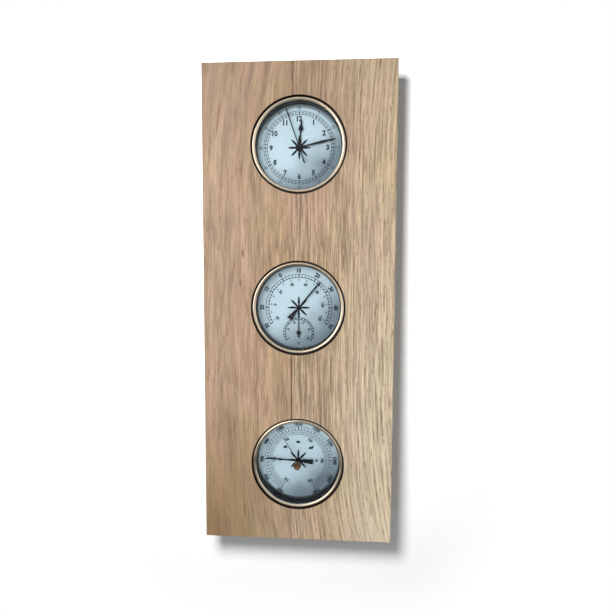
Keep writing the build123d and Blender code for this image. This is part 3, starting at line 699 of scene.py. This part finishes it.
def compassStar(hub, look=star):
    # leaf-shaped rays, widest in their middle, round a small disc
    reach, width = look["reach"], look["width"]
    side = [
        (width * look["footWidth"], hub), (width / 2, hub + (reach - hub) * look["belly"]),
        (width * look["tipWidth"], reach * look["tip"]),
    ]
    outline = [(-side[0][0], hub), *side, (0, reach), *((-x, y) for x, y in side[:0:-1])]
    return [copiesRound(inkPlate(outline), look["rays"], 0), inkPlate(disc(hub * look["disc"], 24))]


clockPrint = {
    "numeralRadius": 22.2, "numeralHeight": 4.3,
    "tracks": (25.2, 26.6, 28.0), "line": 0.33, "hourTick": 0.60, "segments": 180,
    "minuteNumberRadius": 30.3, "minuteNumberHeight": 2.3, "starHub": 2.2,
}


def makeClockPrint(look):
    inner, outer, line = look["tracks"][0], look["tracks"][-1], look["line"]
    middle, length = (inner + outer) / 2, outer - inner
    meshes = [ringMesh(radius, line, ink["low"], ink["high"], look["segments"]) for radius in look["tracks"]]
    meshes.append(copiesRound(tick(line, length), 60, middle, skipEvery=5))
    meshes.append(copiesRound(tick(look["hourTick"], length), 12, middle))
    height, radius = look["minuteNumberHeight"], look["minuteNumberRadius"]
    for hour in range(1, 13):
        meshes.append(numberAt(str(hour), look["numeralHeight"], look["numeralRadius"], hour * 30, True))
        meshes.append(numberAt(str(hour * 5), height, radius, hour * 30, True, bold=0.0))
    meshes += compassStar(look["starHub"])
    finishPrint("clock_print", meshes, "minute_turn")


makeClockPrint(clockPrint)

# A scale has two lines with ticks between them. Its turn is the hand's turn for one unit, in degrees,
# and its middle is the value at the top. Every longEvery-th tick is long.

longTickWidth = 1.3  # times the width of a short one
thermometerPrint = {
    "lowest": -30, "highest": 50, "middle": 10, "turn": 3.0,
    "lineRadius": 24.2, "tickShort": 1.4, "tickLong": 2.4, "line": 0.44,
    "tickEvery": 2, "longEvery": 5, "tickWidth": 0.62,
    "numberEvery": 10, "numberRadius": 29.7, "numberHeight": 3.6,
    "innerDotRadius": 22.2, "dot": 0.55, "innerNumberRadius": 19.2, "innerNumberHeight": 2.6,
    "starHub": 1.6,
}
hygrometerPrint = {
    "lowest": 0, "highest": 100, "middle": 50, "turn": 2.4,
    "lineRadius": 10.7, "tickShort": 1.2, "tickLong": 1.5, "line": 0.42,
    "tickEvery": 5, "longEvery": 2, "tickWidth": 0.60,
    "numberEvery": 20, "numberRadius": 8.8, "numberHeight": 1.8,
}


def arcLine(radius, width, first, last, segments=96):
    # an open ring from one angle to another, clockwise from the top
    angles = [radians(first + (last - first) * i / segments) for i in range(segments + 1)]
    outline = []
    for r, order in ((radius - width / 2, angles), (radius + width / 2, angles[::-1])):
        outline += [(r * sin(a), r * cos(a)) for a in order]
    build = bmesh.new()
    half = len(angles)
    low, high = ([build.verts.new((x, y, h)) for x, y in outline] for h in (ink["low"], ink["high"]))
    for i in range(half - 1):
        far = 2 * half - 1 - i
        build.faces.new((high[i], high[i + 1], high[far - 1], high[far]))
        build.faces.new((low[far], low[far - 1], low[i + 1], low[i]))
    for i in range(2 * half):
        j = (i + 1) % (2 * half)
        build.faces.new((low[i], low[j], high[j], high[i]))
    bmesh.ops.recalc_face_normals(build, faces=build.faces)
    return toMesh(build)


def numberedScale(look):
    turn, middle, start = look["turn"], look["middle"], look["lineRadius"]
    first, last = ((look[end] - middle) * turn for end in ("lowest", "highest"))
    meshes = [arcLine(radius, look["line"], first, last) for radius in (start, start + look["tickLong"])]
    step, every = look["tickEvery"] * turn, look["longEvery"]
    count = round((last - first) / step)
    for length, width, copies, between, skip in (
        (look["tickShort"], look["tickWidth"], count + 1, step, every),
        (look["tickLong"], look["tickWidth"] * longTickWidth, count // every + 1, step * every, None),
    ):
        radius = start + length / 2
        meshes.append(copiesRound(tick(width, abs(length)), copies, radius, first, between, skip))
    for value in range(look["lowest"], look["highest"] + 1, look["numberEvery"]):
        angle = (value - middle) * turn
        meshes.append(numberAt(str(abs(value)), look["numberHeight"], look["numberRadius"], angle))
    return meshes


def makeThermometerPrint(look, small):
    meshes = numberedScale(look)
    # the inner scale reads in Fahrenheit: a dot for each 10 degrees, a number for each 20
    for value in range(-20, 121, 10):
        angle = ((value - 32) / 1.8 - look["middle"]) * look["turn"]
        meshes.append(inkPlate(disc(look["dot"], 10, onCircle(look["innerDotRadius"], angle))))
        if value % 20 == 0:
            height, radius = look["innerNumberHeight"], look["innerNumberRadius"]
            meshes.append(numberAt(str(abs(value)), height, radius, angle))
    meshes += compassStar(look["starHub"])
    finishPrint("thermometer_print", meshes, "thermometer_turn")

    meshes = numberedScale(small)
    meshes.append(numberAt("%", small["numberHeight"] * 1.3, small["numberRadius"], 180, upright=True))
    finishPrint("hygrometer_print", meshes, "hygrometer_turn")


makeThermometerPrint(thermometerPrint, hygrometerPrint)

barometerPrint = {
    "outer": {
        "lowest": 960, "highest": 1060, "middle": 1010, "turn": 3.0,
        "lineRadius": 25.0, "tickShort": 1.9, "tickLong": 2.8, "line": 0.30,
        "tickEvery": 2, "longEvery": 5, "tickWidth": 0.56,
        "numberEvery": 10, "numberRadius": 30.0, "numberHeight": 3.1,
    },
    "inner": {  # its ticks stand inwards
        "lowest": 720, "highest": 795, "middle": 757.5, "turn": 4.0,
        "lineRadius": 23.6, "tickShort": -1.4, "tickLong": -2.1, "line": 0.26,
        "tickEvery": 1, "longEvery": 5, "tickWidth": 0.34,
        "numberEvery": 15, "numberRadius": 19.4, "numberHeight": 2.5,
    },
    "starHub": 1.6,
}
weatherSigns = {
    "circle": 15.0, "size": 1.15,
    # all of these are times the size, apart from the strokes' widths
    "puffs": ((-1.04, 0.0, 0.60), (-0.28, 0.40, 0.80), (0.68, 0.12, 0.68)), "cloudFoot": (-1.6, -0.6, 1.35, 0),
    "drop": 0.8, "dropWidth": 0.22, "dropLean": -18, "dropsBelow": 1.35,
    "sun": 0.75, "ray": 0.55, "rayWidth": 0.24, "rayCircle": 1.35,
}


def weatherIcons(look):
    # plain signs for rain, cloud and sun, from left to right
    size = look["size"]

    def cloud(x, y):
        left, low, right, high = look["cloudFoot"]
        foot = rectangle(x + left * size, y + low * size, x + right * size, y + high * size)
        puffs = [disc(r * size, 20, (x + u * size, y + v * size)) for u, v, r in look["puffs"]]
        return [inkPlate(outline) for outline in (*puffs, foot)]

    def drops(x, y, count):
        made = []
        for i in range(count):
            dx = (i - (count - 1) / 2) * size * look["drop"]
            drop = tick(look["dropWidth"], size * look["drop"])
            made.append(moved(drop, x + dx, y - look["dropsBelow"] * size, turn=look["dropLean"]))
        return made

    def sun(x, y):
        return [inkPlate(disc(size * look["sun"], 24, (x, y)))]

    leftmost, left, top, right, rightmost = (onCircle(look["circle"], angle) for angle in (-90, -45, 0, 45, 90))
    made = cloud(*leftmost) + drops(*leftmost, 3) + cloud(*left) + drops(*left, 2) + cloud(*top)
    x, y = right
    made += sun(x + size, y + size * 0.6) + cloud(x - size * 0.3, y - size * 0.4)
    rays = copiesRound(tick(look["rayWidth"], size * look["ray"]), 8, size * look["rayCircle"])
    return made + sun(*rightmost) + [moved(rays, *rightmost)]


def makeBarometerPrint(look, signs):
    meshes = numberedScale(look["outer"]) + numberedScale(look["inner"])
    meshes += weatherIcons(signs) + compassStar(look["starHub"])
    finishPrint("barometer_print", meshes, "barometer_turn")


makeBarometerPrint(barometerPrint, weatherSigns)
print("prints made")


# Bezels: a soft rounded ring with a fine lip over the glass

bezelShape = {
    "inner": 33.6, "outer": 36.0, "bottom": 6.2, "outerTop": 8.35, "crown": 8.78, "crownRadius": 34.9,
    "lipTop": 8.25, "round": 0.35, "segments": 160,
}


def makeBezels(look):
    profile = roundedProfile([
        (look["inner"], look["bottom"]), (look["outer"], look["bottom"]), (look["outer"], look["outerTop"]),
        (look["crownRadius"], look["crown"]), (look["inner"], look["lipTop"]),
    ], look["round"])
    rings = [placed(latheMesh(profile, look["segments"]), onDial(axis)) for axis in dialAxes]
    finishPiece("bezel_rings", rings, asDrawn, "bezelGold", smooth=40, replaced=("bezels",))


makeBezels(bezelShape)


# Set knob of the barometer: a milled brass button with a dished face, on its thin shaft

knobShape = {
    "radius": 3.0, "low": 9.4, "high": 14.0, "shaft": 0.9, "shaftLow": 3.5, "bore": 0.02, "round": 0.3,
    "ridges": 32, "ridge": 0.16, "ridgeInset": 0.5,
    "dishEdge": 0.62, "dishFoot": 0.45, "dishDepth": 0.35, "dishMiddle": 0.45,
}


def makeSetKnob(look):
    body, low, high = look["radius"] - look["ridge"], look["low"], look["high"]
    profile = roundedProfile([
        (look["shaft"], low), (body, low), (body, high), (body * look["dishEdge"], high),
        (body * look["dishFoot"], high - look["dishDepth"]), (look["bore"], high - look["dishMiddle"]),
        (look["bore"], look["shaftLow"]), (look["shaft"], look["shaftLow"]),
    ], look["round"])
    ridge = plateMesh(disc(look["ridge"], 6), low + look["ridgeInset"], high - look["ridgeInset"])
    meshes = [latheMesh(profile, 64), copiesRound(ridge, look["ridges"], body)]
    finishPiece(
        "milled_knob", meshes, onDial("set_hand_turn"), "agedBrass",
        body="set_marker", smooth=35, replaced=("set_knob",),
    )


makeSetKnob(knobShape)


# Needles: two thin hands are made bolder beyond their hubs. The angle is the hand's own at rest.

hubReach = 2.2  # in mm from the axis
needles = {
    "second_hand": {"pivot": "second_turn", "body": "second_parts", "angle": -19.3, "thicker": 1.6},
    "thermometer_hand": {
        "pivot": "thermometer_turn", "body": "thermometer_pointer", "angle": 39.6, "thicker": 1.5,
    },
}


def makeNeedles(looks):
    for name, look in looks.items():
        build = bmesh.new()
        build.from_mesh(nodes[name].data)
        bmesh.ops.remove_doubles(build, verts=build.verts, dist=1e-7)
        pivot, turn = pivots[look["pivot"]], radians(look["angle"])
        ahead, sideways = Vector((sin(turn), 0, cos(turn))), Vector((cos(turn), 0, -sin(turn)))
        for vert in build.verts:
            off = vert.co - pivot
            if off.dot(ahead) > hubReach * mm:
                vert.co += sideways * off.dot(sideways) * (look["thicker"] - 1)
        finishPiece(
            "bold_" + name, [toMesh(build)], asDrawn, "handLacquer",
            body=look["body"], smooth=30, replaced=(name,),
        )


makeNeedles(needles)
print("rings, knob and needles made")


# Back: the keyhole plate with its two slotted screws, and the marks moulded into the cases.
# Drawn in mm in the back plane, seen from behind: x right, y up, z towards the viewer.

def onBack(height):
    place = Matrix.Translation((0, 0, height)) @ Matrix.Rotation(pi, 4, "Z")
    return place @ Matrix.Rotation(pi / 2, 4, "X") @ Matrix.Scale(mm, 4)


hangerShape = {
    "width": 38.0, "height": 19.0, "middle": 4.0, "corner": 2.5, "metal": 1.1, "face": -0.35, "soft": 0.12,
    "entry": 4.75, "slot": 4.6, "travel": 8.0,
    "screwSpread": 14.0, "headRadius": 3.1, "headHeight": 0.30, "headSlot": 0.8, "slotFloor": 0.35,
    "sunk": 0.01,
}


def arc(centre, radius, first, last, steps):
    # points of an arc, angles in degrees from +x, counterclockwise
    angles = [radians(first + (last - first) * i / steps) for i in range(steps + 1)]
    return [(centre[0] + radius * cos(a), centre[1] + radius * sin(a)) for a in angles]


def sheetMesh(outlines, thickness, soft):
    # a flat sheet with softened edges: the first outline is its edge, the others are holes
    curve = bpy.data.curves.new("sheet", "CURVE")
    curve.dimensions, curve.fill_mode = "2D", "BOTH"
    curve.extrude, curve.bevel_depth, curve.offset = thickness / 2 - soft, soft, -soft
    for outline in outlines:
        spline = curve.splines.new("POLY")
        spline.points.add(len(outline) - 1)
        for point, (x, y) in zip(spline.points, outline):
            point.co = (x, y, 0, 1)
        spline.use_cyclic_u = True
    build = joined([evaluated(curve)])
    bmesh.ops.remove_doubles(build, verts=build.verts, dist=1e-4)
    bmesh.ops.recalc_face_normals(build, faces=build.faces)
    return toMesh(build)


def makeHanger(look):
    halfWidth, halfHeight, corner = look["width"] / 2, look["height"] / 2, look["corner"]
    edge = []
    for turn, (x, y) in enumerate(((1, 1), (-1, 1), (-1, -1), (1, -1))):
        centre = (x * (halfWidth - corner), look["middle"] + y * (halfHeight - corner))
        edge += arc(centre, corner, turn * 90, turn * 90 + 90, 6)
    # the keyhole: round entry below, slot above
    meet = degrees(asin(look["slot"] / 2 / look["entry"]))
    keyhole = arc((0, 0), look["entry"], 90 + meet, 450 - meet, 36)
    keyhole += arc((0, look["travel"]), look["slot"] / 2, 0, 180, 16)
    plate = moved(sheetMesh([edge, keyhole], look["metal"], look["soft"]), z=look["face"] - look["metal"] / 2)
    finishPiece(
        "keyhole_plate", [plate], onBack(0), "zincSteel",
        smooth=40, replaced=("hanger_plate",),
    )

    # each screw head is two halves beside a slot, on a disc that is the slot's floor
    radius, low, height = look["headRadius"], look["face"] - look["sunk"], look["headHeight"]
    open = degrees(asin(look["headSlot"] / 2 / radius))
    half = arc((0, 0), radius, open, 180 - open, 16)
    head = toMesh(joined([
        plateMesh(disc(radius * 0.98, 32), low, low + height * look["slotFloor"]),
        plateMesh(half, low, low + height),
        moved(plateMesh(half, low, low + height), turn=180),
    ]))
    screws = copiesRound(head, 2, look["screwSpread"], first=90, finish="zincSteel")
    screws = moved(screws, y=look["middle"])
    finishPiece("hanger_screws", [screws], onBack(0), "zincSteel")


makeHanger(hangerShape)

caseMarks = {
    "low": -1.02, "high": -0.60, "ringRadius": 31.5, "ringWidth": 0.8, "segments": 120,
    "plusX": 10.2, "plusY": 23.6, "plus": 3.0, "plusWidth": 0.7, "plusHigh": -0.75,
}


def makeCaseMarks(look):
    # a moulded ring on each case's back, and a plus sign beside the cell's cap
    meshes = []
    for axis in dialAxes:
        ring = ringMesh(look["ringRadius"], look["ringWidth"], look["low"], look["high"], look["segments"])
        meshes.append(placed(ring, onBack(pivots[axis].z)))
    long, thin = look["plus"] / 2, look["plusWidth"] / 2
    for x, y in ((long, thin), (thin, long)):
        bar = plateMesh(rectangle(-x, -y, x, y), look["low"], look["plusHigh"])
        bar = moved(bar, look["plusX"], look["plusY"])
        meshes.append(placed(bar, onBack(pivots["minute_turn"].z)))
    finishPiece("case_marks", meshes, asDrawn, "casePlastic", smooth=40)


makeCaseMarks(caseMarks)
print("back made")


# Camera: level with the upper middle of the board, close by and a little to its right

camera = {
    "place": (0.0308, -0.3865, -0.1458),
    "yaw": -3.63, "pitch": -4.09, "roll": 0.26,
    "lens": 27.06, "sensor": 36.0,
}


def makeCamera(look):
    yaw, pitch, roll = (radians(look[key]) for key in ("yaw", "pitch", "roll"))
    ahead = Vector((sin(yaw) * cos(pitch), cos(yaw) * cos(pitch), sin(pitch)))
    right = Vector((cos(yaw), -sin(yaw), 0))
    up = right.cross(ahead)
    turnedRight = right * cos(roll) + up * sin(roll)
    turnedUp = up * cos(roll) - right * sin(roll)
    data = bpy.data.cameras.new("camera")
    data.lens, data.sensor_width = look["lens"], look["sensor"]
    obj = addObject("camera", data)
    axes = Matrix((turnedRight, turnedUp, -ahead)).transposed()
    obj.matrix_world = Matrix.Translation(look["place"]) @ axes.to_4x4()
    scene.camera = obj


makeCamera(camera)


# Studio: a white wall close behind the board, seen only from its front, and a pale floor far below

studio = {
    "wallGap": 0.010, "halfWidth": 2.0, "top": 1.4, "floor": -0.70,
    "wallGrey": 0.48, "floorGrey": 0.80,
    "wallLamp": {"place": (-0.075, -0.369, -0.020), "radius": 0.064, "watts": 25.0, "colour": (1.0, 1.0, 1.0)},
    "haloFrom": 0.015, "haloTo": 0.10,  # the wall turns plain white this far from the board
    "window": {"place": (-0.95, -1.30, 0.20), "size": (1.3, 1.0), "watts": 17.0, "colour": (0.985, 0.99, 1.0)},
    "side": {"place": (1.3, -0.9, -0.1), "size": (0.9, 1.2), "watts": 6.0, "colour": (1.0, 0.98, 0.96)},
    "back": {"place": (0.5, 1.5, 0.7), "size": (1.2, 1.2), "watts": 10.0, "colour": (1.0, 1.0, 1.0)},
    "fill": 0.45, "fillColour": (0.96, 0.98, 1.0),
    "cardGrey": 0.05, "cardHalfWidth": 1.5, "cardNear": -0.30, "cardFar": -2.0, "cardLift": 0.01,
}


def stagePlane(name, corners, material):
    mesh = bpy.data.meshes.new(name)
    mesh.from_pydata(corners, [], [(0, 1, 2, 3)])
    mesh.materials.append(material)
    obj = addObject(name, mesh)
    return obj


def paintMaterial(name, grey):
    material, tree, shader, place = startMaterial(name, Roughness=0.9, Specular_IOR_Level=0.0)
    shade = spread(tree, noise(tree, place, 3), 0.99, 1.01)
    plug(tree, shader.inputs["Base Color"], brighten(tree, (grey, grey, grey), shade))
    return material, tree, shader, place


def wallPaint(look):
    # near the board the wall is lit paint, away from it the camera sees it white, and from behind it is clear
    material, tree, shader, place = paintMaterial("wallPaint", look["wallGrey"])
    x, y, z = addNode(tree, "ShaderNodeSeparateXYZ", Vector=place).outputs
    offs = []
    for axis, socket in ((0, x), (2, z)):
        low, high = sizeAtLoad[0][axis], sizeAtLoad[1][axis]
        beyond = calc(tree, "SUBTRACT", apart(tree, socket, (low + high) / 2), (high - low) / 2)
        beyond = calc(tree, "MAXIMUM", beyond, 0.0)
        offs.append(times(tree, beyond, beyond))
    away = calc(tree, "SQRT", calc(tree, "ADD", *offs))
    seen = addNode(tree, "ShaderNodeLightPath").outputs["Is Camera Ray"]
    halo = times(tree, remap(tree, away, look["haloFrom"], look["haloTo"]), seen)
    white = addNode(tree, "ShaderNodeEmission", Color=(1, 1, 1, 1), Strength=1.0)
    lit = mixShaders(tree, halo, shader.outputs[0], white.outputs[0])
    behind = addNode(tree, "ShaderNodeNewGeometry").outputs["Backfacing"]
    clear = addNode(tree, "ShaderNodeBsdfTransparent")
    mixed = mixShaders(tree, behind, lit, clear.outputs[0])
    plug(tree, tree.nodes["Material Output"].inputs["Surface"], mixed)
    return material


def limitLight(lamp, obj, state):
    # the lamp lights this object alone, or all but it
    group = bpy.data.collections.new(lamp.name + "Light")
    group.objects.link(obj)
    group.collection_objects[0].light_linking.link_state = state
    lamp.light_linking.receiver_collection = group


def makeLamp(name, look, target):
    # a lamp with a size is a flat panel that faces the target, any other is a round bulb
    panel = "size" in look
    data = bpy.data.lights.new(name, "AREA" if panel else "POINT")
    data.energy, data.color = look["watts"], look["colour"]
    lamp = addObject(name, data)
    lamp.location = look["place"]
    if panel:
        data.shape = "RECTANGLE"
        data.size, data.size_y = look["size"]
        lamp.rotation_euler = (target - lamp.location).to_track_quat("-Z", "Y").to_euler()
    else:
        data.shadow_soft_size = look["radius"]
    return lamp


def levelCorners(halfWidth, front, back, height):
    return [(x, y, height) for x, y in rectangle(-halfWidth, front, halfWidth, back)]


def makeStudio(look):
    wide, floor, gap = look["halfWidth"], look["floor"], look["wallGap"]
    upright = [(x, gap, z) for x, z in rectangle(-wide, floor, wide, look["top"])]
    wall = stagePlane("wall", upright, wallPaint(look))
    wall.visible_diffuse = wall.visible_glossy = wall.visible_shadow = False
    paint = paintMaterial("floorPaint", look["floorGrey"])[0]
    stagePlane("floor", levelCorners(wide, -wide, wide, floor), paint)
    # only metal and glass see this dark card on the floor, so that they show a dark side
    corners = levelCorners(look["cardHalfWidth"], look["cardFar"], look["cardNear"], floor + look["cardLift"])
    card = stagePlane("shadeCard", corners, paintMaterial("cardPaint", look["cardGrey"])[0])
    card.visible_camera = card.visible_diffuse = card.visible_shadow = card.visible_transmission = False

    middle = (Vector(sizeAtLoad[0]) + Vector(sizeAtLoad[1])) / 2
    for name in ("window", "side", "back"):
        limitLight(makeLamp(name, look[name], middle), wall, "EXCLUDE")
    # the wall's own lamp draws the board's shadow on it and lights nothing else
    lamp = makeLamp("wallLamp", look["wallLamp"], middle)
    lamp.visible_camera = lamp.visible_glossy = lamp.visible_transmission = False
    limitLight(lamp, wall, "INCLUDE")

    world = bpy.data.worlds.new("studio")
    world.use_nodes = True
    scene.world = world
    tree = world.node_tree
    path = addNode(tree, "ShaderNodeLightPath")
    # the camera, metal and glass see a white studio, and everything else is lit by the fill
    shown = calc(tree, "MAXIMUM", path.outputs["Is Camera Ray"], path.outputs["Is Transmission Ray"])
    shown = calc(tree, "MAXIMUM", shown, path.outputs["Is Glossy Ray"])
    fill = tree.nodes["Background"]
    fill.inputs["Color"].default_value = (*look["fillColour"], 1)
    fill.inputs["Strength"].default_value = look["fill"]
    white = addNode(tree, "ShaderNodeBackground", Color=(1, 1, 1, 1), Strength=1.0)
    mixed = mixShaders(tree, shown, fill.outputs[0], white.outputs[0])
    plug(tree, tree.nodes["World Output"].inputs["Surface"], mixed)


makeStudio(studio)
scene.view_settings.view_transform = "Standard"
print("studio made")
